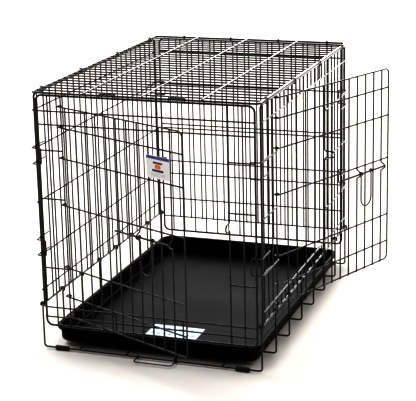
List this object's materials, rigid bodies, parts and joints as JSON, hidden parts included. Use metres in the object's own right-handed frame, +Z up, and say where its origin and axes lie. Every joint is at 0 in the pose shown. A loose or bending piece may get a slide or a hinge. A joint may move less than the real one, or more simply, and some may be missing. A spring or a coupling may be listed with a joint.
{
  "type": "wire dog crate",
  "caption": "Folding black wire dog crate with a front door and a side door on slide bolts, hooked panels and a slide-out plastic pan.",
  "frame": {"origin": "on the ground, under the middle of the crate's body", "axes": "+Z up, +Y from the front end to the back end, +X towards the side with the door"},
  "size_m": [0.7059, 0.9322, 0.6136],
  "materials": {
    "wire": "gloss black electro-coat",
    "bolt": "gloss black electro-coat, rubbed where it slides",
    "pan": "satin black with a fine grain",
    "foot": "matte",
    "card": "coated card",
    "sticker": "glossy label"
  },
  "bodies": {
    "crate": {"floor_cross_wires": "wire", "floor_long_wires": "wire", "left_side_panel": "wire", "right_side_panel": "wire", "top_panel": "wire", "front_panel": "wire", "left_top_rings": "wire", "right_top_rings": "wire", "front_left_hooks": "wire", "front_right_hooks": "wire", "back_left_hooks": "wire", "back_right_hooks": "wire", "foot_front_left": "foot", "foot_front_right": "foot", "foot_back_left": "foot", "foot_back_right": "foot", "front_catch": "wire", "side_catch": "wire"},
    "front_door": {"front_door": "wire", "front_bolt_guides": "wire", "label_card": "card"},
    "front_bolt": {"front_bolt": "bolt"},
    "front_bolt_handle": {"front_bolt_handle": "bolt"},
    "side_door": {"side_door": "wire", "side_bolt_guides": "wire"},
    "side_bolt": {"side_bolt": "bolt"},
    "side_bolt_handle": {"side_bolt_handle": "bolt"},
    "pan": {"pan": "pan", "pan_label": "sticker"},
    "pan_stop": {"pan_stop": "wire"},
    "back_panel": {"back_panel": "wire"}
  },
  "joints": [
    {"name": "front_door_hinge", "type": "hinge", "parent": "crate", "child": "front_door", "pos_m": [-0.1944, -0.3786, 0.33351], "axis": [0, 0, -1], "range_deg": [-24.2, 95.8]},
    {"name": "front_bolt_slide", "type": "slide", "parent": "front_door", "child": "front_bolt", "axis": [-0.9121, 0.4099, 0], "range_m": [-0.046, 0]},
    {"name": "front_handle_turn", "type": "hinge", "parent": "front_bolt", "child": "front_bolt_handle", "pos_m": [0.05232, -0.50976, 0.33351], "axis": [-0.9121, 0.4099, 0], "range_deg": [0, 170]},
    {"name": "side_door_hinge", "type": "hinge", "parent": "crate", "child": "side_door", "pos_m": [0.2641, -0.256, 0.36356], "axis": [0, 0, -1], "range_deg": [-22.7, 97.3]},
    {"name": "side_bolt_slide", "type": "slide", "parent": "side_door", "child": "side_bolt", "axis": [-0.3859, -0.9225, 0], "range_m": [-0.046, 0]},
    {"name": "side_handle_turn", "type": "hinge", "parent": "side_bolt", "child": "side_bolt_handle", "pos_m": [0.40176, 0.02515, 0.36356], "axis": [-0.3859, -0.9225, 0], "range_deg": [0, 170]},
    {"name": "pan_slide", "type": "slide", "parent": "crate", "child": "pan", "axis": [0, -1, 0], "range_m": [0, 0.72]},
    {"name": "pan_stop_turn", "type": "hinge", "parent": "crate", "child": "pan_stop", "pos_m": [0.015, -0.3786, 0.0055], "axis": [1, 0, 0], "range_deg": [-90, 0]},
    {"name": "back_panel_swing", "type": "hinge", "parent": "crate", "child": "back_panel", "pos_m": [0, 0.3786, 0.6076], "axis": [-1, 0, 0], "range_deg": [0, 75]}
  ]
}
